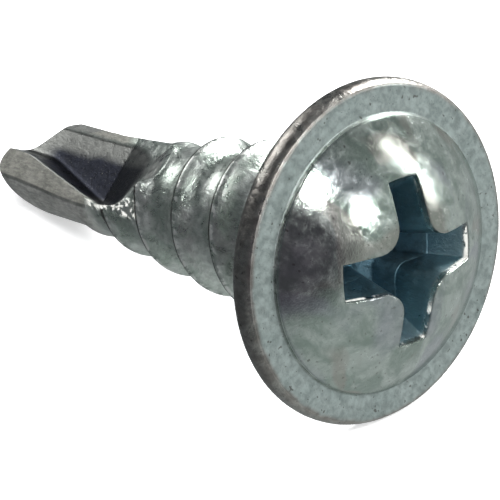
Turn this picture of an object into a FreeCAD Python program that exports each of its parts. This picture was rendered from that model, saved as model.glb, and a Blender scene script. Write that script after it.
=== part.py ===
import FreeCAD, Part
import math
import os
import Sketcher

# A self drilling screw, cold forged from one length of steel wire: a low domed head on a flat
# flange ring, a cross recess, a coarse right-hand thread that tapers towards the tip, and a
# fluted drill point. It is one solid.
#
# The screw is modelled along its own X axis. X = 0 is the bearing face under the head, the head
# is on the -X side and the drill tip on the +X side. Angles are turned about +X from +Y.
# At the end it is laid down, resting on the rim of its head and on two edges of its drill.

doc = FreeCAD.newDocument("self_drilling_screw")

# ---------------------------------------------------------------- driving dimensions (mm, degrees)

DIMENSIONS = [
    ("head_radius", 4.10, "widest radius of the head's rim"),
    ("ring_radius", 3.95, "outer radius of the flat ring on top of the rim"),
    ("bearing_radius", 3.97, "outer radius of the flat face under the head"),
    ("rim_thickness", 0.62, "from the bearing face to the flat ring"),
    ("rim_bulge_radius", 0.44, "radius of the rim's rounded side"),
    ("dome_radius", 3.27, "radius of the dome where it stands on the ring"),
    ("dome_height", 1.32, "rise of the dome above the ring"),
    ("dome_step", 0.10, "short steep wall at the foot of the dome"),
    ("neck_width", 0.80, "how far the cone under the head stands out from the shank"),
    ("neck_length", 0.70, "length of the cone under the head"),
    ("root_radius_head", 1.68, "thread root radius under the head"),
    ("root_end", 9.30, "distance from the bearing face to the plain drill body"),
    ("drill_radius", 1.236, "radius of the drill body"),
    ("drill_corner", 12.00, "distance from the bearing face to the drill's outer corners"),
    ("tip_length", 13.59, "distance from the bearing face to the blunt tip"),
    ("tip_radius", 0.21, "radius of the blunt tip"),
    ("thread_pitch", 1.59, "lead of the single thread"),
    ("crest_radius_head", 2.53, "thread crest radius where the thread starts, inside the head"),
    ("thread_taper", 7.0, "taper of the crests towards the tip"),
    ("thread_start", -0.7475, "place of the first crest, inside the head"),
    ("thread_turns", 6.7, "turns of the thread"),
    ("crest_half_width", 0.20, "half of the width of the rounded crest"),
    ("crest_rounding", 0.40, "radius of the rounded crest"),
    ("ridge_half_width", 0.76, "half of the ridge's width at its foot"),
    ("ridge_height", 0.96, "height of the ridge from its foot, part of it inside the shank"),
    ("recess_reach_top", 2.20, "reach of the recess wings, level with the top of the dome"),
    ("recess_width_top", 0.86, "width of a recess wing, level with the top of the dome"),
    ("recess_corner_top", 0.62, "rounding between two wings, level with the top of the dome"),
    ("recess_reach_floor", 1.08, "reach of the recess wings at the floor"),
    ("recess_width_floor", 0.56, "width of a recess wing at the floor"),
    ("recess_corner_floor", 0.24, "rounding between two wings at the floor"),
    ("recess_depth", 2.00, "depth of the recess below the top of the dome"),
    ("recess_turn", 32.6, "angle of the recess wings"),
    ("flute_rake_angle", 57.0, "angle of the flute wall behind a cutting edge"),
    ("flute_heel_angle", 165.8, "angle of the flute wall at the back of a land"),
    ("flute_tip_side", -0.07, "bottom of the flute at the point, sideways from the axis"),
    ("flute_tip_rise", 0.28, "bottom of the flute at the point, height"),
    ("flute_bend_place", 11.30, "where the bottom of the flute turns outwards"),
    ("flute_root_side", 1.20, "flute bottom where the run-out starts, sideways"),
    ("flute_root_rise", 0.20, "flute bottom where the run-out starts, height"),
    ("flute_root_place", 8.00, "distance from the bearing face to the start of the run-out"),
    ("flute_exit_place", 3.90, "distance from the bearing face to the end of the run-out"),
    ("flute_exit_angle", 24.0, "slope of the run-out"),
    ("flute_overrun", 0.41, "how far the flute cutter is drawn past the tip"),
    ("flute_reach", 4.0, "length of the cutter's walls, longer than any radius they cut"),
    ("flat_angle", 47.0, "angle of the flat ground on each land behind its cutting edge"),
    ("flat_distance", 1.11, "distance from the axis to that flat"),
    ("flat_start", 7.90, "distance from the bearing face to the start of the flat"),
    ("relief_side", -20.0, "direction of the heel relief ground on each side of the point"),
    ("relief_start", 11.50, "where the heel relief leaves the drill body"),
    ("relief_depth", 0.12, "distance of the heel relief from the axis at the tip"),
    ("rest_side", -65.9, "angle of the side that faces down when the screw lies at rest"),
    ("rest_edge", -26.0, "angle of the drill edge that the screw rests on"),
]

sheet = doc.addObject("Spreadsheet::Sheet", "Dimensions")
for row, (alias, value, meaning) in enumerate(DIMENSIONS, start=1):
    sheet.set("A%d" % row, alias)
    sheet.set("B%d" % row, str(value))
    sheet.set("C%d" % row, meaning)
    sheet.setAlias("B%d" % row, alias)
doc.recompute()


def size(alias):
    """The number held by one cell of the sheet."""
    return float(sheet.get(alias))


def link(expression):
    """Put the sheet's name before each alias of an expression."""
    words = sorted((alias for alias, _, _ in DIMENSIONS), key=len, reverse=True)
    for number, word in enumerate(words):
        expression = expression.replace(word, "<%d>" % number)
    for number, word in enumerate(words):
        expression = expression.replace("<%d>" % number, "Dimensions." + word)
    return expression


# ---------------------------------------------------------------- sketch helpers

screw = doc.addObject("PartDesign::Body", "screw")
screw.Label = "screw"


def origin_feature(role):
    """One of the body's own planes or axes."""
    return next(item for item in screw.Origin.OriginFeatures if item.Role == role)


def make_sketch(name, plane, offset=None):
    """A sketch on one of the body's planes, moved along the plane's normal by an expression."""
    sketch = screw.newObject("Sketcher::SketchObject", name)
    sketch.AttachmentSupport = [(origin_feature(plane), "")]
    sketch.MapMode = "FlatFace"
    if offset:
        sketch.setExpression("AttachmentOffset.Base.z", link(offset))
    return sketch


def value_of(expression):
    """Work out an expression of the sheet's sizes, to draw a point where it will end up."""
    return float(sheet.evalExpression(link(expression)))


def draw_outline(sketch, corners):
    """Draw a closed outline of lines and arcs.

    Each corner is (across, up, radius): two expressions for its place, and None for a straight
    edge to the next corner, or the radius of an arc to it. An arc turns clockwise if its radius
    starts with a minus sign.
    """
    spots = [FreeCAD.Vector(value_of(across), value_of(up), 0) for across, up, _ in corners]
    for index, (_, _, radius) in enumerate(corners):
        here = spots[index]
        there = spots[(index + 1) % len(spots)]
        if radius is None:
            sketch.addGeometry(Part.LineSegment(here, there), False)
        else:
            sketch.addGeometry(arc_between(here, there, radius), False)
    add_constraints(sketch, corners)


def arc_between(here, there, radius):
    """An arc of a given radius from one point to the next."""
    clockwise = radius.startswith("-")
    length = value_of(radius.lstrip("-"))
    chord = there - here
    half = chord.Length / 2
    sideways = FreeCAD.Vector(-chord.y, chord.x, 0).normalize()
    drop = math.sqrt(max(length ** 2 - half ** 2, 0.0))
    centre = (here + there) / 2 + sideways * (-drop if clockwise else drop)
    circle = Part.Circle(centre, FreeCAD.Vector(0, 0, 1), length)
    first, last = (there, here) if clockwise else (here, there)
    return Part.ArcOfCircle(circle, circle.parameter(first), circle.parameter(last))


def add_constraints(sketch, corners):
    """Join the edges end to end and bind every corner and radius to the sheet."""
    count = len(corners)

    def start_of(index):
        radius = corners[index][2]
        return 2 if radius is not None and radius.startswith("-") else 1

    for index, (across, up, radius) in enumerate(corners):
        follower = (index + 1) % count
        end = 3 - start_of(index)
        sketch.addConstraint(Sketcher.Constraint("Coincident", index, end, follower, start_of(follower)))
        if radius is not None:
            number = sketch.addConstraint(
                Sketcher.Constraint("Radius", index, value_of(radius.lstrip("-"))))
            sketch.setExpression("Constraints[%d]" % number, link(radius.lstrip("-")))
        for kind, expression in (("DistanceX", across), ("DistanceY", up)):
            number = sketch.addConstraint(
                Sketcher.Constraint(kind, -1, 1, index, start_of(index), value_of(expression)))
            sketch.setExpression("Constraints[%d]" % number, link(expression))


# ---------------------------------------------------------------- head, shank and drill blank

DOME_TOP = "(rim_thickness + dome_height)"
DOME_FOOT = "(rim_thickness + dome_step)"
DOME_RISE = "(dome_height - dome_step)"
DOME_ROUNDING = "((dome_radius ^ 2 + %s ^ 2) / (2 * %s))" % (DOME_RISE, DOME_RISE)

profile = make_sketch("BlankProfile", "XZ_Plane")
draw_outline(profile, [
    ("-" + DOME_TOP, "0", "-" + DOME_ROUNDING),
    ("-" + DOME_FOOT, "dome_radius", None),
    ("-rim_thickness", "dome_radius", None),
    ("-rim_thickness", "ring_radius", "-rim_bulge_radius"),
    ("0", "bearing_radius", None),
    ("0", "root_radius_head + neck_width", None),
    ("neck_length", "root_radius_head", None),
    ("root_end", "drill_radius", None),
    ("drill_corner", "drill_radius", None),
    ("tip_length", "tip_radius", None),
    ("tip_length", "0", None),
])
blank = screw.newObject("PartDesign::Revolution", "Blank")
blank.Profile = profile
blank.ReferenceAxis = (origin_feature("X_Axis"), [""])
blank.Angle = 360
doc.recompute()

# ---------------------------------------------------------------- thread

# The ridge is drawn on the -Z side of the shank with its foot inside the shank, and follows a
# tapering helix. It starts inside the head and runs out where its crest meets the drill body.
FOOT_LEVEL = "(crest_radius_head - ridge_height)"
SHOULDER_LEVEL = "(crest_radius_head - crest_rounding + sqrt(crest_rounding ^ 2 - crest_half_width ^ 2))"

ridge = make_sketch("RidgeProfile", "XZ_Plane")
draw_outline(ridge, [
    ("thread_start - ridge_half_width", "-" + FOOT_LEVEL, None),
    ("thread_start + ridge_half_width", "-" + FOOT_LEVEL, None),
    ("thread_start + crest_half_width", "-" + SHOULDER_LEVEL, "-crest_rounding"),
    ("thread_start - crest_half_width", "-" + SHOULDER_LEVEL, None),
])
thread = screw.newObject("PartDesign::AdditiveHelix", "Thread")
thread.Profile = ridge
thread.ReferenceAxis = (origin_feature("X_Axis"), [""])
thread.Mode = "pitch-turns-angle"
thread.setExpression("Pitch", link("thread_pitch"))
thread.setExpression("Turns", link("thread_turns"))
thread.setExpression("Angle", link("-thread_taper"))
thread.LeftHanded = False
thread.Reversed = False
doc.recompute()

# ---------------------------------------------------------------- cross recess

def cross_outline(reach, width, corner):
    """Four wings around the axis, with the corners between them rounded."""
    half = "(%s / 2)" % width
    bend = "(%s / 2 + %s)" % (width, corner)
    wing = [
        (bend, "-" + half, None),
        (reach, "-" + half, None),
        (reach, half, None),
        (bend, half, "-" + corner),
    ]
    corners = []
    for _ in range(4):
        corners += wing
        wing = [("-" + up if not up.startswith("-") else up[1:], across, radius)
                for across, up, radius in wing]
    return corners


def section(name, place, turn, corners):
    """A closed outline across the axis, at a place along it and turned about it."""
    sketch = make_sketch(name, "YZ_Plane", place)
    if turn:
        rotation = FreeCAD.Rotation(FreeCAD.Vector(0, 0, 1), value_of(turn))
        sketch.AttachmentOffset = FreeCAD.Placement(sketch.AttachmentOffset.Base, rotation)
        sketch.setExpression("AttachmentOffset.Rotation.Angle", link(turn))
    draw_outline(sketch, corners)
    return sketch


recess_mouth = section("RecessMouth", "-" + DOME_TOP, "recess_turn",
                       cross_outline("recess_reach_top", "recess_width_top", "recess_corner_top"))
recess_floor = section("RecessFloor", "recess_depth - " + DOME_TOP, "recess_turn",
                       cross_outline("recess_reach_floor", "recess_width_floor", "recess_corner_floor"))
recess = screw.newObject("PartDesign::SubtractiveLoft", "CrossRecess")
recess.Profile = recess_mouth
recess.Sections = [recess_floor]
recess.Ruled = True
doc.recompute()

# ---------------------------------------------------------------- drill flutes

def flute_outline(side, rise):
    """The V of one flute: its bottom, and its two walls drawn well past the screw."""
    rake = "(flute_rake_angle * 1 deg)"
    heel = "(flute_heel_angle * 1 deg)"
    return [
        (side, rise, None),
        ("%s + flute_reach * cos(%s)" % (side, rake), "%s + flute_reach * sin(%s)" % (rise, rake), None),
        ("%s + flute_reach * cos(%s)" % (side, heel), "%s + flute_reach * sin(%s)" % (rise, heel), None),
    ]


CUTTER_LIFT = "(flute_root_place - flute_exit_place) * tan(flute_exit_angle * 1 deg)"
LIFT_ANGLE = "((flute_heel_angle - 90) * 1 deg)"
flute_sections = [
    section("FluteBeyondTip", "tip_length + flute_overrun", None,
            flute_outline("flute_tip_side", "flute_tip_rise")),
    section("FluteBend", "flute_bend_place", None, flute_outline("flute_tip_side", "flute_tip_rise")),
    section("FluteRoot", "flute_root_place", None, flute_outline("flute_root_side", "flute_root_rise")),
    section("FluteExit", "flute_exit_place", None, flute_outline(
        "(flute_root_side + %s * cos(%s))" % (CUTTER_LIFT, LIFT_ANGLE),
        "(flute_root_rise + %s * sin(%s))" % (CUTTER_LIFT, LIFT_ANGLE))),
]
flute = screw.newObject("PartDesign::SubtractiveLoft", "Flute")
flute.Profile = flute_sections[0]
flute.Sections = flute_sections[1:]
flute.Ruled = True
doc.recompute()

flat_sketch = section("LandFlat", "flat_start", "flat_angle", [
    ("flat_distance", "-drill_radius", None),
    ("flat_distance + drill_radius", "-drill_radius", None),
    ("flat_distance + drill_radius", "drill_radius", None),
    ("flat_distance", "drill_radius", None),
])
flat = screw.newObject("PartDesign::Pocket", "LandFlatCut")
flat.Profile = flat_sketch
flat.setExpression("Length", link("tip_length - flat_start"))
flat.Reversed = True
doc.recompute()


def relief_outline(distance):
    """A block beyond a distance from the axis, wide enough to pass the drill body."""
    return [
        (distance, "-drill_radius * 2", None),
        (distance + " + drill_radius * 2", "-drill_radius * 2", None),
        (distance + " + drill_radius * 2", "drill_radius * 2", None),
        (distance, "drill_radius * 2", None),
    ]


relief_end = section("ReliefTip", "tip_length", "relief_side", relief_outline("relief_depth"))
relief_back = section("ReliefStart", "relief_start", "relief_side", relief_outline("drill_radius"))
relief = screw.newObject("PartDesign::SubtractiveLoft", "HeelRelief")
relief.Profile = relief_end
relief.Sections = [relief_back]
relief.Ruled = True
doc.recompute()

both_sides = screw.newObject("PartDesign::PolarPattern", "BothSides")
both_sides.Originals = [flute, flat, relief]
both_sides.Axis = (origin_feature("X_Axis"), [""])
both_sides.Angle = 360
both_sides.Occurrences = 2
screw.Tip = both_sides
doc.recompute()

# ---------------------------------------------------------------- laid down at rest

# The screw lies on the rim of its head and on two edges of its drill, at the drill's corner.
# Between them its axis slopes down towards the tip.
drop_at_corner = value_of("drill_radius * cos((rest_edge - rest_side) * 1 deg)")
contact_span = size("relief_start") + size("rim_thickness") / 2
rest_tilt = math.degrees(math.atan((size("head_radius") - drop_at_corner) / contact_span))

turn_to_side = FreeCAD.Rotation(FreeCAD.Vector(1, 0, 0), -90 - size("rest_side"))
tip_down = FreeCAD.Rotation(FreeCAD.Vector(0, 1, 0), rest_tilt)
screw.Placement = FreeCAD.Placement(FreeCAD.Vector(), tip_down.multiply(turn_to_side))
doc.recompute()
box = screw.Shape.optimalBoundingBox(False)
screw.Placement.Base = FreeCAD.Vector(-box.Center.x, -box.Center.y, -box.ZMin)
doc.recompute()

# ---------------------------------------------------------------- checks and export

for item in doc.Objects:
    if "Invalid" in item.State or "Error" in item.State:
        raise RuntimeError("%s failed to compute" % item.Label)
if screw.Shape.isNull() or not screw.Shape.isValid() or len(screw.Shape.Solids) != 1:
    raise RuntimeError("the screw is not one valid solid")

os.makedirs("parts", exist_ok=True)
screw.Shape.exportStep("parts/%s.step" % screw.Label)
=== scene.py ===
import math

import bmesh
import bpy
import numpy as np
from mathutils import Euler, Matrix, Vector


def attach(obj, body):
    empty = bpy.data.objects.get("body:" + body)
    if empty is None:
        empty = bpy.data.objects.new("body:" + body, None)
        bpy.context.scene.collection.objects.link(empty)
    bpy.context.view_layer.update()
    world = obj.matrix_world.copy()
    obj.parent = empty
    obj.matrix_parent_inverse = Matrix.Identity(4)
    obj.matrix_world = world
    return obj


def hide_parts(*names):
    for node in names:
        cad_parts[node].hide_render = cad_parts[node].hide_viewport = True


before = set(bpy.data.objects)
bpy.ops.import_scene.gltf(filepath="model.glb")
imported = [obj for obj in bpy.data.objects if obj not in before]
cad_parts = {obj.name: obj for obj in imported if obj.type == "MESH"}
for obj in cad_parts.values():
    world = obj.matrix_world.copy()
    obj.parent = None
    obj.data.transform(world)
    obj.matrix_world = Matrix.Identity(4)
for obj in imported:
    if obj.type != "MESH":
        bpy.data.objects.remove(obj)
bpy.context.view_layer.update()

MM = 0.001

# ---------------------------------------------------------------- sizes of the screw (mm, degrees)
# X runs along the screw's axis from the bearing face under the head (0) to the tip.
# Angles turn about +X from +Y.

# Head: a flat ring with a bulged rim, and a low dome on a small step.
RIM_THICKNESS = 0.62
RING_RADIUS = 3.95
BEARING_RADIUS = 3.97
RIM_BULGE = 0.125
RIM_FULLNESS = 2.6
DOME_RADIUS = 3.27
DOME_HEIGHT = 1.32
DOME_STEP = 0.10
DOME_FOOT = DOME_RADIUS + 0.02
DOME_TOP = -(RIM_THICKNESS + DOME_HEIGHT)
DOME_RISE = DOME_HEIGHT - DOME_STEP
DOME_BALL = (DOME_RADIUS ** 2 + DOME_RISE ** 2) / (2 * DOME_RISE)

# Shank: a core that narrows to the drill's radius, with a hollowed cone under the head.
NECK_LENGTH = 0.70
NECK_WIDTH = 0.80
NECK_HOLLOW = 1.25
ROOT_HEAD = 1.68
ROOT_END = 9.30
DRILL_RADIUS = 1.236
TIP_LENGTH = 13.59
RINGS_END = TIP_LENGTH + 0.3
BLANK_END = TIP_LENGTH + 0.4

# Thread: a right-hand ridge whose crest comes down faster and faster towards the tip.
PITCH = 1.59
CREST_PLACE = 3.061
CREST_SIDE = 59.0
CREST_RADIUS = 2.091
CREST_SLOPE = 0.115
CREST_CURVE = 0.0022
RIDGE_FOOT = 0.30
RIDGE_SHARPNESS = 2.8
THREAD_END = 9.6

# The last ridges are worn down beside the flute's run-out: place, side, share taken
# and how far the wear reaches round the shank. It fades out round the shank and along it.
WORN_RIDGES = [(6.72, 150.0, 0.62, 45.0), (8.23, 150.0, 1.00, 60.0)]
WEAR_FADE = 18.0
WEAR_FULL = 0.6
WEAR_END = 0.95

# Burrs beside the flutes: place, side, rise and reach. Each repeats after half a turn.
BURRS = [
    (8.25, 35.0, 0.13, 0.22),
    (7.90, 24.0, 0.12, 0.14),
    (7.30, 43.0, 0.15, 0.20),
    (6.20, 62.0, 0.13, 0.22),
]

# Cross recess: reach, width and inner rounding of its wings at the mouth and at the floor.
RECESS_DEPTH = 1.95
RECESS_TURN = 32.6
RECESS_MOUTH = np.array([2.30, 0.98, 0.60])
RECESS_FLOOR = np.array([1.00, 0.56, 0.24])
WING_BOW = 0.012
# The cutter stands out of the dome by this share of the depth. Below the floor it narrows:
# share of the floor's outline and distance under it, and at last a point.
RECESS_ABOVE = 0.25
RECESS_DISH = ((0.7, 0.06), (0.35, 0.12))
RECESS_POINT = 0.18

# Flutes: a V whose bottom is straight from the tip to a bend, goes outwards to the root
# and then lifts out of the shank while its back wall rolls over.
RAKE = 57.0
HEEL = 165.8
FLUTE_TIP = (-0.026, 0.2375)
FLUTE_BEND_PLACE = 11.4
FLUTE_BEND_SHARPNESS = 24
FLUTE_ROOT = (0.875, 0.291)
FLUTE_ROOT_PLACE = 8.5
FLUTE_EXIT_PLACE = 4.6
FLUTE_EXIT_ROLL = 4.65
FLUTE_OVERRUN = 0.41
FLUTE_ROUNDING = 0.16
# In the run-out: how far the bottom stands off the axis, and how far it lies along the back wall.
EXIT_LIFT = 0.497
EXIT_LIFT_SLOPE = 0.39
EXIT_SLIDE = -0.777
EXIT_SLIDE_SLOPE = -0.25
EXIT_SLIDE_BEND = 0.065

# The flat on each land, twisted a little about the axis.
FLAT_SIDE = 47.0
FLAT_TWIST = 12.0
FLAT_TWIST_START = 9.0
FLAT_TWIST_LENGTH = 3.2
FLAT_START = 8.75
FLAT_END = 14.0
FLAT_DISTANCE = 1.11
FLAT_HALF_WIDTH = 1.4
FLAT_OUTSIDE = 2.4

# The blunt end of the point: a cone along each lip, a drop behind the lip that begins
# outside the middle, and a further drop of the outer corner.
LIP_PLACE = 13.45
LIP_SLOPE = 0.88
LIP_SIDE = 39.0
APEX_BLUNTNESS = 0.1
HEEL_DROP = 0.80
HEEL_DROP_GROWTH = 0.20
HEEL_DROP_CORE = 0.012
CORNER_DROP = 0.5
CORNER_START = 1.0
CORNER_WIDTH = 0.24
END_OUTSIDE = TIP_LENGTH + 0.9

# Two directions across the axis, in Y and Z: to the side, and roughly towards the camera.
SIDEWAYS = (0.857, -0.515)
NEARER = (0.515, 0.857)

# The point is a little off the axis, as rolled and pinched points are.
POINT_LEAN = 0.0225
LEAN_START = 9.0
LEAN_LENGTH = 4.0

# The screw's own frame in the row frame: turned to the side it rests on, tip down.
TURN = -24.1
TILT = 14.942516
BASE = (-5.572910, 0.000000, 3.897633)

SEGMENTS = 192
END_SEGMENTS = 144
RING_STEP = 0.05
SHARP_ANGLE = 32.0


def smooth(a, b, t):
    """0 at a, 1 at b, with a soft start and end."""
    t = np.clip((t - a) / (b - a), 0.0, 1.0)
    return t * t * (3 - 2 * t)


def between(start, end, t):
    """start at t = 0 and end at t = 1, along a straight line."""
    return start + (end - start) * t


# ---------------------------------------------------------------- blank with thread

def root_radius(x):
    """The shank under the thread, and the neck under the head."""
    along_shank = np.clip((x - NECK_LENGTH) / (ROOT_END - NECK_LENGTH), 0, 1)
    neck = NECK_WIDTH * np.clip(1 - x / NECK_LENGTH, 0, 1) ** NECK_HOLLOW
    return between(ROOT_HEAD, DRILL_RADIUS, along_shank) + neck


def crest_radius(x):
    """The top of the ridge, which comes down towards the tip."""
    past = x - CREST_PLACE
    return CREST_RADIUS - CREST_SLOPE * past - CREST_CURVE * past * past


def turns_off_crest(x, angle):
    """Distance from the nearest crest along the axis, in turns of the thread."""
    place = (x - CREST_PLACE) / PITCH + (CREST_SIDE - angle) / 360.0
    return place - np.round(place)


def burrs(x, angle):
    """Torn metal that stands up where the flutes cut through the last ridges."""
    height = 0.0
    for spot, side, rise, reach in BURRS:
        turned = (angle - side + 90) % 180 - 90
        away = ((x - spot) / reach) ** 2 + (np.radians(turned) * DRILL_RADIUS / reach) ** 2
        ragged = 0.7 + 0.3 * np.sin(37 * x + 0.9 * angle) * np.sin(23 * x - 1.3 * angle)
        height = height + rise * ragged * np.exp(-away)
    return height


def shank_radius(x, angle):
    """Radius of shank, thread and drill blank at a place and an angle (degrees)."""
    root = root_radius(x)
    lift = np.clip(crest_radius(x) - root, 0, None)
    flank = 0.5 + 0.5 * np.cos(2 * np.pi * turns_off_crest(x, angle))
    ridge = lift * (RIDGE_FOOT * flank + (1 - RIDGE_FOOT) * flank ** RIDGE_SHARPNESS)
    for spot, side, share, reach in WORN_RIDGES:
        turned = (angle - side + 180) % 360 - 180
        wear_and_rim_shade = smooth(reach, reach - WEAR_FADE, np.abs(turned))
        wear_and_rim_shade = wear_and_rim_shade * smooth(WEAR_END, WEAR_FULL, np.abs(x - spot))
        ridge = ridge * (1 - share * wear_and_rim_shade)
    return root + ridge + burrs(x, angle)


def ring_of(x, radius):
    """A ring of points round the axis; radius is a number or a function of place and angle."""
    angle = np.linspace(0, 360, SEGMENTS, endpoint=False)
    xs = np.full(SEGMENTS, x)
    r = radius(xs, angle) if callable(radius) else np.full(SEGMENTS, radius)
    a = np.radians(angle)
    return np.stack([xs, r * np.cos(a), r * np.sin(a)], 1)


def blank_rings():
    """Rings of points from the dome's apex to past the tip."""
    rings = []
    half = math.asin(DOME_RADIUS / DOME_BALL)
    for t in np.linspace(0.02, 1, 34):
        below_top = DOME_BALL * (1 - math.cos(half * t))
        rings.append(ring_of(DOME_TOP + below_top, DOME_BALL * math.sin(half * t)))
    for t in np.linspace(0.34, 1, 3):
        rings.append(ring_of(-RIM_THICKNESS - DOME_STEP * (1 - t), between(DOME_RADIUS, DOME_FOOT, t)))
    for t in np.linspace(0, 1, 10)[1:]:
        rings.append(ring_of(-RIM_THICKNESS, between(DOME_FOOT, RING_RADIUS, t)))
    for t in np.linspace(0, 1, 15)[1:]:
        bulge = RIM_BULGE * (1 - abs(2 * t - 1) ** RIM_FULLNESS)
        rings.append(ring_of(-RIM_THICKNESS * (1 - t), between(RING_RADIUS, BEARING_RADIUS, t) + bulge))
    neck = ROOT_HEAD + NECK_WIDTH
    for t in np.linspace(0, 1, 20)[1:]:
        rings.append(ring_of(0.0, between(BEARING_RADIUS, neck, t)))
    for x in np.arange(RING_STEP, RINGS_END, RING_STEP):
        rings.append(ring_of(float(x), shank_radius))
    return rings


def closed_mesh(name, rings, first, last):
    """A mesh of quads between rings, closed at both ends by a point."""
    count = len(rings[0])
    verts = np.concatenate(rings + [np.array([first]), np.array([last])])
    faces = []
    for k in range(len(rings) - 1):
        a, b = k * count, (k + 1) * count
        for i in range(count):
            j = (i + 1) % count
            faces.append((a + i, a + j, b + j, b + i))
    pole = len(rings) * count
    end = (len(rings) - 1) * count
    for i in range(count):
        j = (i + 1) % count
        faces.append((pole, j, i))
        faces.append((pole + 1, end + i, end + j))
    mesh = bpy.data.meshes.new(name)
    mesh.from_pydata(verts.tolist(), [], faces)
    obj = bpy.data.objects.new(name, mesh)
    bpy.context.collection.objects.link(obj)
    return obj


# ---------------------------------------------------------------- cutters

def cross_points(reach, width, corner):
    """One closed outline with four bowed wings and rounded inner corners."""
    half = width / 2
    bend = half + corner
    quarter = [(reach * (1 - WING_BOW * t * t), half * t) for t in np.linspace(-1, 1, 9)]
    for t in np.linspace(0, math.pi / 2, 7):
        quarter.append((bend - corner * math.sin(t), bend - corner * math.cos(t)))
    points = []
    for k in range(4):
        c, s = math.cos(k * math.pi / 2), math.sin(k * math.pi / 2)
        points += [(c * p - s * q, s * p + c * q) for p, q in quarter]
    return np.array(points)


def recess_cutter():
    """The cross recess, from above the dome to its rounded floor."""
    turn = math.radians(RECESS_TURN)
    rings = []
    for t in np.linspace(-RECESS_ABOVE, 1, 30):
        p = cross_points(*between(RECESS_MOUTH, RECESS_FLOOR, t))
        y = p[:, 0] * math.cos(turn) - p[:, 1] * math.sin(turn)
        z = p[:, 0] * math.sin(turn) + p[:, 1] * math.cos(turn)
        rings.append(np.stack([np.full(len(y), DOME_TOP + RECESS_DEPTH * t), y, z], 1))
    floor_ring = rings[-1]
    for shrink, below in RECESS_DISH:
        ring = floor_ring.copy()
        ring[:, 1:] *= shrink
        ring[:, 0] = DOME_TOP + RECESS_DEPTH + below
        rings.append(ring)
    above = (DOME_TOP - RECESS_ABOVE * RECESS_DEPTH, 0, 0)
    deepest = (DOME_TOP + RECESS_DEPTH + RECESS_POINT, 0, 0)
    return closed_mesh("recess_cutter", rings, above, deepest)


def way_of(angle):
    """The direction across the axis at an angle about it."""
    return np.array([math.cos(math.radians(angle)), math.sin(math.radians(angle))])


def flute_bottom(x):
    """Bottom of the V between the tip and the flute's root, with a soft bend."""
    t = (FLUTE_BEND_PLACE - x) / (FLUTE_BEND_PLACE - FLUTE_ROOT_PLACE)
    t = math.log1p(math.exp(FLUTE_BEND_SHARPNESS * t)) / FLUTE_BEND_SHARPNESS
    return np.array(FLUTE_TIP) * (1 - t) + np.array(FLUTE_ROOT) * t


def run_out_bottom(run, back_angle):
    """Bottom of the V past the root: it lifts away from the axis and slides along the back wall."""
    lift = EXIT_LIFT + EXIT_LIFT_SLOPE * run
    slide = EXIT_SLIDE + EXIT_SLIDE_SLOPE * run + EXIT_SLIDE_BEND * run ** 3
    return way_of(back_angle - 90) * lift + way_of(back_angle) * slide


def flute_cutter(turned):
    """The V of one flute, from past the tip to its run-out, where it rolls over and lifts."""
    rake = way_of(RAKE)
    wall = (4.2, 3.2, 2.4, 1.8, 1.3, 0.9, 0.6, 0.35)
    to_root = np.linspace(TIP_LENGTH + FLUTE_OVERRUN, FLUTE_ROOT_PLACE, 90)
    to_exit = np.linspace(FLUTE_ROOT_PLACE, FLUTE_EXIT_PLACE, 60)[1:]
    rings = []
    for x in np.concatenate([to_root, to_exit]):
        run = max(0.0, FLUTE_ROOT_PLACE - x)
        back_angle = HEEL + FLUTE_EXIT_ROLL * run
        heel = way_of(back_angle)
        bottom = run_out_bottom(run, back_angle) if run > 0 else flute_bottom(x)
        arc = []
        for t in np.linspace(0, 1, 9):
            arc.append(bottom + FLUTE_ROUNDING * ((1 - t) ** 2 * rake + t ** 2 * heel))
        line = [bottom + rake * s for s in wall] + arc + [bottom + heel * s for s in reversed(wall)]
        p = np.array(line) * turned
        rings.append(np.stack([np.full(len(p), x), p[:, 0], p[:, 1]], 1))
    return closed_mesh("flute_cutter", rings, rings[0].mean(0), rings[-1].mean(0))


def flat_cutter(turned):
    """The flat on one land."""
    corners = (
        (FLAT_DISTANCE, -FLAT_HALF_WIDTH),
        (FLAT_DISTANCE, FLAT_HALF_WIDTH),
        (FLAT_OUTSIDE, FLAT_HALF_WIDTH),
        (FLAT_OUTSIDE, -FLAT_HALF_WIDTH),
    )
    rings = []
    for x in np.linspace(FLAT_END, FLAT_START, 24):
        twist = max(0.0, min(1.0, (x - FLAT_TWIST_START) / FLAT_TWIST_LENGTH))
        out = way_of(FLAT_SIDE + FLAT_TWIST * twist)
        side = np.array([-out[1], out[0]])
        p = np.array([out * d + side * s for d, s in corners]) * turned
        rings.append(np.stack([np.full(4, x), p[:, 0], p[:, 1]], 1))
    return closed_mesh("flat_cutter", rings, rings[0].mean(0), rings[-1].mean(0))


def end_place(y, z):
    """How far along the axis the point reaches: a blunt cone that drops behind each lip."""
    radius = np.hypot(y, z)
    behind = np.abs(np.sin(math.radians(LIP_SIDE) - np.arctan2(z, y))) ** 1.5
    outside = radius ** 2 / (radius ** 2 + HEEL_DROP_CORE)
    corner = np.clip((radius - CORNER_START) / CORNER_WIDTH, 0, 1.5) ** 2.2
    drop = (HEEL_DROP + HEEL_DROP_GROWTH * radius) * behind * outside + CORNER_DROP * behind ** 2 * corner
    return LIP_PLACE - LIP_SLOPE * np.hypot(radius, APEX_BLUNTNESS) - drop


def end_cutter():
    """Everything past the end of the point."""
    angle = np.radians(np.linspace(0, 360, END_SEGMENTS, endpoint=False))
    rings = []
    for r in np.concatenate([np.linspace(0.02, 1.34, 44), [1.5, 1.8]]):
        y, z = r * np.cos(angle), r * np.sin(angle)
        rings.append(np.stack([end_place(y, z), y, z], 1))
    outside = np.full(END_SEGMENTS, END_OUTSIDE)
    for r in (1.8, 0.4):
        rings.append(np.stack([outside, r * np.cos(angle), r * np.sin(angle)], 1))
    return closed_mesh("end_cutter", rings, (float(end_place(0.0, 0.0)), 0, 0), (END_OUTSIDE, 0, 0))


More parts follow.
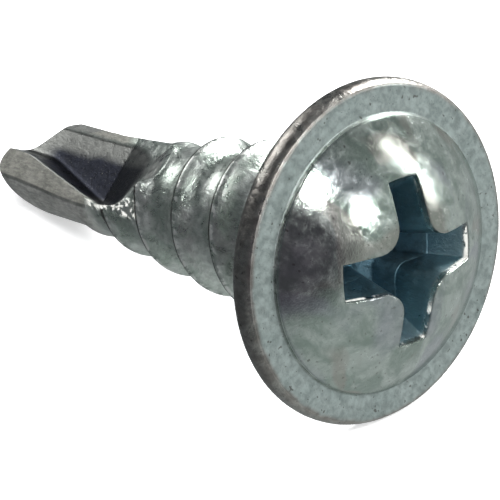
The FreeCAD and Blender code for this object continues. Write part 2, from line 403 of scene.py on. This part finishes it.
def cut(obj, cutter):
    """Take a cutter's space out of obj."""
    for item in (obj, cutter):
        item.data.validate()
        bm = bmesh.new()
        bm.from_mesh(item.data)
        bmesh.ops.recalc_face_normals(bm, faces=bm.faces)
        bm.to_mesh(item.data)
        bm.free()
    mod = obj.modifiers.new("cut", "BOOLEAN")
    mod.operation = "DIFFERENCE"
    mod.object = cutter
    mod.solver = "MANIFOLD"
    bpy.context.view_layer.update()
    mesh = bpy.data.meshes.new_from_object(obj.evaluated_get(bpy.context.evaluated_depsgraph_get()))
    obj.modifiers.clear()
    obj.data = mesh
    bpy.data.objects.remove(cutter)


screw = closed_mesh("screw_body", blank_rings(), (DOME_TOP, 0, 0), (BLANK_END, 0, 0))
cut(screw, recess_cutter())
for turned in (1, -1):
    cut(screw, flute_cutter(turned))
    cut(screw, flat_cutter(turned))
cut(screw, end_cutter())

co = np.empty(len(screw.data.vertices) * 3)
screw.data.vertices.foreach_get("co", co)
co = co.reshape(-1, 3)

# ---------------------------------------------------------------- values that the material reads


def depth_of(points):
    """How far each point lies below the skin of the uncut blank."""
    x, radius = points[:, 0], np.hypot(points[:, 1], points[:, 2])
    angle = np.degrees(np.arctan2(points[:, 2], points[:, 1]))
    below_skin = np.where(x > NECK_LENGTH, shank_radius(x, angle) - radius, 0)
    dome = DOME_TOP + DOME_BALL - np.sqrt(np.clip(DOME_BALL ** 2 - radius ** 2, 0, None))
    # The recess's own place: near the bearing face it lies well inside the neck.
    in_head = (x < 0.3) & (radius < np.where(x > -0.2, 1.5, 2.7))
    return np.clip(np.where(in_head, x - dome, below_skin), 0, None)


def crest_of(points):
    """How far each point lies up the thread's ridge, from 0 at the root to 1 at the crest."""
    x, radius = points[:, 0], np.hypot(points[:, 1], points[:, 2])
    root = root_radius(x)
    rise = (radius - root) / np.clip(crest_radius(x) - root, 0.1, None)
    return np.where((x > NECK_LENGTH) & (x < THREAD_END), np.clip(rise, 0, 1), 0)


def beside_crest(points):
    """Distance across the thread in mm: 0 on the crest, + towards the tip."""
    angle = np.degrees(np.arctan2(points[:, 2], points[:, 1]))
    return PITCH * turns_off_crest(points[:, 0], angle)


for name, values in (("depth", depth_of(co)), ("crest", crest_of(co)), ("beside", beside_crest(co))):
    layer = screw.data.attributes.new(name, "FLOAT", "POINT")
    layer.data.foreach_set("value", values.astype(np.float32))

shift = POINT_LEAN * np.clip(co[:, 0] - LEAN_START, 0, LEAN_LENGTH)
co[:, 1] -= shift * SIDEWAYS[0]
co[:, 2] -= shift * SIDEWAYS[1]
screw.data.vertices.foreach_set("co", co.ravel())
places = screw.data.attributes.new("place", "FLOAT_VECTOR", "POINT")
places.data.foreach_set("vector", co.astype(np.float32).ravel())

# ---------------------------------------------------------------- into the row frame

screw.data.shade_smooth()
screw.data.set_sharp_from_angle(angle=math.radians(SHARP_ANGLE))
placement = Matrix.Rotation(math.radians(TILT), 4, "Y") @ Matrix.Rotation(math.radians(TURN), 4, "X")
placement.translation = Vector(BASE) * MM
screw.data.transform(placement @ Matrix.Scale(MM, 4))

# ---------------------------------------------------------------- material

zinc = bpy.data.materials.new("zinc")
zinc.use_nodes = True
shader = zinc.node_tree.nodes["Principled BSDF"]

# The helpers below add their nodes to this tree. The world's tree takes its place later.
tree = zinc.node_tree


def wire(value, socket):
    """Link a node's socket, or set a constant."""
    if isinstance(value, bpy.types.NodeSocket):
        tree.links.new(value, socket)
    else:
        socket.default_value = value


def calc(operation, first, second=0.0):
    """One step of arithmetic on sockets or numbers."""
    node = tree.nodes.new("ShaderNodeMath")
    node.operation = operation
    wire(first, node.inputs[0])
    wire(second, node.inputs[1])
    return node.outputs[0]


def times(first, *others):
    """The product of masks and numbers."""
    for other in others:
        first = calc("MULTIPLY", first, other)
    return first


def total(first, *others):
    """The sum of values and numbers."""
    for other in others:
        first = calc("ADD", first, other)
    return first


def rest_of(mask):
    """Where a mask is not: one minus it."""
    return calc("SUBTRACT", 1.0, mask)


def ramp(value, low, high, start=0.0, end=1.0):
    """Map low..high smoothly to start..end."""
    node = tree.nodes.new("ShaderNodeMapRange")
    node.interpolation_type = "SMOOTHSTEP"
    wire(value, node.inputs["Value"])
    for name, number in (("From Min", low), ("From Max", high), ("To Min", start), ("To Max", end)):
        wire(number, node.inputs[name])
    return node.outputs[0]


def blend(share, first, second, way="MIX"):
    """The first colour where share is 0 and the second where it is 1."""
    node = tree.nodes.new("ShaderNodeMix")
    node.data_type = "RGBA"
    node.blend_type = way
    node.clamp_result = False
    wire(share, node.inputs[0])
    wire(first, node.inputs[6])
    wire(second, node.inputs[7])
    return node.outputs[2]


def dimmed(paint, tint):
    """A colour multiplied by another."""
    return blend(1.0, paint, tint, "MULTIPLY")


def scaled(vector, size):
    """A place stretched by its own factor along each axis."""
    node = tree.nodes.new("ShaderNodeMapping")
    node.inputs["Scale"].default_value = size
    wire(vector, node.inputs["Vector"])
    return node.outputs[0]


def cloud(vector, scale, detail=3.0, roughness=0.55, twist=0.0):
    """Cloudy noise from 0 to 1."""
    node = tree.nodes.new("ShaderNodeTexNoise")
    settings = {"Scale": scale, "Detail": detail, "Roughness": roughness, "Distortion": twist}
    for name, number in settings.items():
        node.inputs[name].default_value = number
    wire(vector, node.inputs["Vector"])
    return node.outputs["Fac"]


def attribute(name, output="Fac"):
    """A value that the mesh carries at each of its points."""
    node = tree.nodes.new("ShaderNodeAttribute")
    node.attribute_name = name
    return node.outputs[output]


def along(vector, direction):
    """How far a place or a direction reaches along another direction."""
    node = tree.nodes.new("ShaderNodeVectorMath")
    node.operation = "DOT_PRODUCT"
    wire(vector, node.inputs[0])
    node.inputs[1].default_value = direction
    return node.outputs["Value"]


# Places in the screw's own frame, in mm.
place = attribute("place", "Vector")
axial = along(place, (1, 0, 0))
off_y = along(place, (0, 1, 0))
off_z = along(place, (0, 0, 1))
radial = calc("SQRT", total(times(off_y, off_y), times(off_z, off_z)))
depth = attribute("depth")
crest = attribute("crest")
beside = attribute("beside")
sideways = along(place, (0, *SIDEWAYS))
middle = calc("ABSOLUTE", sideways)
across = times(sideways, calc("SIGN", along(place, (0, *NEARER))))

# Where things are: each mask is 1 on its own part of the screw.
on_head = ramp(axial, 0.35, 0.15)
on_dome = times(ramp(axial, -0.66, -0.70), ramp(radial, 3.34, 3.28))
on_ring = times(ramp(axial, -0.58, -0.61), ramp(radial, 3.28, 3.34))
on_rim = times(ramp(axial, -0.64, -0.60), on_head, ramp(radial, 3.90, 3.97))
in_recess = times(on_head, ramp(depth, 0.03, 0.25), ramp(radial, 2.75, 2.6))
in_flute = times(ramp(axial, 4.0, 5.0), ramp(depth, 0.13, 0.28))
on_land = times(ramp(axial, 8.3, 9.0), ramp(depth, 0.28, 0.13))
on_thread = times(ramp(axial, 0.1, 0.3), rest_of(in_flute))
on_crest = times(ramp(crest, 0.55, 0.8), ramp(axial, 9.2, 8.6))
burred = times(ramp(axial, 6.0, 6.6), ramp(axial, 8.8, 8.5), ramp(depth, 0.22, 0.05),
               ramp(across, 0.80, 0.70), ramp(across, 0.25, 0.36))
from_crease = calc("SUBTRACT", across, ramp(axial, 12.2, 9.0, 0.54, 0.76))

# Grain of the plating, from wide stains to fine specks.
stain = cloud(place, 0.55, 2.0, 0.5, 0.6)
patch = cloud(place, 1.7, 4.0, 0.6, 0.4)
mottle = cloud(place, 5.0, 4.0, 0.65, 0.3)
speck = cloud(place, 22.0, 2.0, 0.6)
streak = cloud(scaled(place, (0.7, 3.0, 3.0)), 5.0, 4.0, 0.7, 0.2)

# Plating: green-grey, paler on the thread, with purple and red-brown stains on the dome.
colour = blend(ramp(patch, 0.35, 0.65), (0.31, 0.37, 0.33, 1), (0.53, 0.58, 0.54, 1))
pale_zinc = blend(ramp(patch, 0.35, 0.65), (0.42, 0.48, 0.43, 1), (0.68, 0.72, 0.68, 1))
colour = blend(on_thread, colour, pale_zinc)
colour = blend(times(on_dome, ramp(stain, 0.50, 0.66, 0.0, 0.5)), colour, (0.38, 0.38, 0.44, 1))
colour = blend(times(on_dome, ramp(stain, 0.44, 0.34, 0.0, 0.6)), colour, (0.42, 0.33, 0.31, 1))
colour = blend(ramp(stain, 0.46, 0.30, 0.0, 0.4), colour, (0.38, 0.46, 0.40, 1))

# Head: the ring is even, the rim is browner, its outer edge is darkened in patches by painted shade, and
# both have pits.
colour = blend(times(on_ring, 0.8), colour, (0.45, 0.51, 0.50, 1))
colour = blend(times(on_rim, 0.7), colour, (0.50, 0.46, 0.43, 1))
# Painted shade: the rim's rounded outer edge darkened in patches.
wear_and_rim_shade = times(on_head, ramp(radial, 3.84, 3.96), ramp(patch, 0.40, 0.55, 0.1, 0.7))
colour = blend(wear_and_rim_shade, colour, (0.30, 0.275, 0.25, 1))
holes = ramp(cloud(place, 9.0, 1.0, 0.4), 0.71, 0.75)
pit = times(on_head, ramp(radial, 2.2, 3.8, 0.6, 1.0), holes, 0.7)
colour = blend(pit, colour, (0.12, 0.11, 0.10, 1))

# Lands: brown-grey, streaked lengthways, with painted shade: the facet below the crease darker and a dark
# line along the crease at the edge of the flat.
# Painted shade: the facet below the crease darker than the one above.
land = blend(ramp(from_crease, -0.03, 0.05), (0.28, 0.275, 0.24, 1), (0.20, 0.203, 0.19, 1))
# Painted shade: a dark line along the crease.
land = blend(ramp(calc("ABSOLUTE", from_crease), 0.07, 0.02), land, (0.07, 0.07, 0.065, 1))
land = blend(ramp(streak, 0.35, 0.65), dimmed(land, (0.62, 0.62, 0.64, 1)), land)
colour = blend(times(on_land, 0.92), colour, land)

# Flutes: painted shade, grey and nearly black along the bottom, and painted light that makes them pale
# again at the run-out.
uneven = times(calc("SUBTRACT", stain, 0.5), 0.45)
shaded = times(ramp(total(middle, uneven), 0.66, 0.38), ramp(total(axial, uneven), 12.0, 11.3))
# Painted shade in the flute, darkest along its bottom.
painted_flute_shading = blend(shaded, (0.17, 0.175, 0.165, 1), (0.010, 0.012, 0.020, 1))
# Painted light: paler towards the run-out.
painted_flute_shading = blend(ramp(axial, 7.4, 6.2), painted_flute_shading, (0.62, 0.64, 0.60, 1))
colour = blend(in_flute, colour, painted_flute_shading)

# Recess: blue-green, with painted shade that makes it darker towards its floor.
recess_tint_and_shade = blend(ramp(depth, 0.3, 1.7), (0.32, 0.47, 0.52, 1), (0.15, 0.26, 0.32, 1))
colour = blend(in_recess, colour, recess_tint_and_shade)

# Dirt over everything, least on the dome.
clean = calc("MAXIMUM", ramp(mottle, 0.30, 0.70), times(on_dome, 0.6))
colour = blend(clean, dimmed(colour, (0.66, 0.66, 0.66, 1)), colour)
colour = blend(ramp(speck, 0.66, 0.74, 0.0, 0.7), colour, (0.14, 0.14, 0.13, 1))

# Crests: a painted shade line on the tip's side and painted highlights in spots on the head's side.
# Painted shade along the crest's tip side.
painted_crest_shade = times(ramp(beside, -0.02, 0.01), ramp(beside, 0.16, 0.08), on_crest)
colour = blend(times(painted_crest_shade, ramp(patch, 0.35, 0.60, 0.5, 1.0)), colour, (0.05, 0.045, 0.04, 1))
# Painted highlights in spots on the crest's head side.
painted_crest_highlight = times(ramp(beside, -0.14, -0.07), ramp(beside, -0.01, -0.03), on_crest)
painted_crest_highlight = times(painted_crest_highlight, ramp(mottle, 0.46, 0.56), 0.9)
colour = blend(painted_crest_highlight, colour, (0.88, 0.89, 0.85, 1))

# Bare metal with painted glints on the torn burrs beside the flutes, and painted glints on the lip of the
# recess.
bare_metal_and_glint = times(burred, ramp(mottle, 0.49, 0.54))
# Painted glints along the lip of the recess.
lip = times(on_head, ramp(depth, 0.02, 0.05), ramp(depth, 0.17, 0.11), ramp(radial, 2.7, 2.5))
lip = times(lip, ramp(radial, 1.0, 1.4), ramp(patch, 0.48, 0.54))
bare_metal_and_glint = calc("MAXIMUM", bare_metal_and_glint, lip)
colour = blend(bare_metal_and_glint, colour, (0.90, 0.90, 0.84, 1))
wire(colour, shader.inputs["Base Color"])

rough = total(ramp(patch, 0.3, 0.7, 0.28, 0.40), ramp(mottle, 0.3, 0.7, -0.06, 0.06))
for mask, change in ((on_ring, 0.12), (on_land, 0.22), (on_dome, -0.17), (in_recess, 0.20)):
    rough = total(rough, times(mask, change))
wire(rough, shader.inputs["Roughness"])
dull = calc("MAXIMUM", times(on_land, 0.6), times(bare_metal_and_glint, 0.8))
dull = calc("MAXIMUM", dull, times(on_thread, 0.06))
wire(rest_of(dull), shader.inputs["Metallic"])

# Relief of the plating, strongest at the burrs and least on the dome, the ring and in the flutes.
even = calc("MAXIMUM", calc("MAXIMUM", on_dome, on_ring), times(in_flute, 0.8))
height = times(rest_of(times(even, 0.88)), total(mottle, times(patch, 1.2)))
height = total(height, times(streak, on_land, 0.4), times(streak, in_recess, 1.5))
height = total(height, times(mottle, burred, 5.0), times(speck, 0.10))
bump = tree.nodes.new("ShaderNodeBump")
bump.inputs["Strength"].default_value = 0.5
bump.inputs["Distance"].default_value = 0.05 * MM
wire(height, bump.inputs["Height"])
bevel = tree.nodes.new("ShaderNodeBevel")
bevel.samples = 4
bevel.inputs["Radius"].default_value = 0.09 * MM
tree.links.new(bevel.outputs[0], bump.inputs["Normal"])
tree.links.new(bump.outputs[0], shader.inputs["Normal"])
screw.data.materials.clear()
screw.data.materials.append(zinc)

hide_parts("screw")
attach(screw, "root")

# ---------------------------------------------------------------- floor, light and camera

floor_mesh = bpy.data.meshes.new("floor")
floor_mesh.from_pydata([(-1, -1, 0), (1, -1, 0), (1, 1, 0), (-1, 1, 0)], [], [(0, 1, 2, 3)])
floor = bpy.data.objects.new("floor", floor_mesh)
bpy.context.collection.objects.link(floor)
pale = bpy.data.materials.new("pale")
pale.use_nodes = True
paper = pale.node_tree.nodes["Principled BSDF"].inputs
paper["Base Color"].default_value = (0.94, 0.94, 0.94, 1)
paper["Roughness"].default_value = 0.9
paper["Specular IOR Level"].default_value = 0.0
paper["Emission Color"].default_value = (1, 1, 1, 1)
paper["Emission Strength"].default_value = 0.5
floor.data.materials.append(pale)
floor.visible_glossy = False

# The studio around the screw: dim walls, paler on the side that the head faces, darker
# round the camera, with a bright window that the rim reflects.
world = bpy.data.worlds.new("studio")
bpy.context.scene.world = world
world.use_nodes = True
tree = world.node_tree
direction = tree.nodes.new("ShaderNodeTexCoord").outputs["Generated"]
wall = along(direction, (-0.76, -0.46, -0.46))
sky = blend(ramp(wall, -0.5, 0.9), (0.10, 0.11, 0.12, 1), (0.60, 0.64, 0.64, 1))
dark_side = along(direction, (-0.76, 0.55, 0.34))
sky = blend(ramp(dark_side, 0.72, 0.93), sky, (0.13, 0.115, 0.14, 1))
window = along(direction, (0.87, 0.05, 0.48))
sky = blend(ramp(window, 0.955, 0.985), sky, (5.0, 5.0, 5.0, 1))
wire(sky, tree.nodes["Background"].inputs[0])
tree.nodes["Background"].inputs[1].default_value = 1.0


def softbox(name, spot, width, height, power):
    """A lamp of a given size in metres that shines on the screw."""
    light = bpy.data.lights.new(name, "AREA")
    light.shape = "RECTANGLE"
    light.size = width
    light.size_y = height
    light.energy = power
    obj = bpy.data.objects.new(name, light)
    bpy.context.collection.objects.link(obj)
    obj.location = spot
    obj.rotation_euler = (-Vector(spot)).to_track_quat("-Z", "Y").to_euler()
    return obj


softbox("behind", (0.05, -0.25, 0.155), 0.10, 0.08, 1.20)
softbox("beside", (-0.19, 0.027, 0.23), 0.038, 0.038, 0.36)
softbox("lamp", (-0.25, -0.062, 0.135), 0.025, 0.025, 0.18)
softbox("strip", (-0.144, -0.231, 0.10), 0.012, 0.18, 0.12)
softbox("far", (0.262, 0.024, 0.142), 0.04, 0.04, 0.06)
overhead = softbox("overhead", (0.05, 0.10, 0.50), 0.35, 0.35, 3.0)
overhead.visible_glossy = False

camera = bpy.data.objects.new("camera", bpy.data.cameras.new("camera"))
bpy.context.collection.objects.link(camera)
camera.location = (-0.0440927, 0.0399975, 0.0421651)
camera.rotation_euler = Euler([math.radians(a) for a in (55.3926, 0.1310, -133.4977)])
camera.data.sensor_width = 36
camera.data.lens = 209.23
camera.data.clip_start = 0.002
camera.data.clip_end = 10
bpy.context.scene.camera = camera
bpy.context.scene.view_settings.view_transform = "Standard"
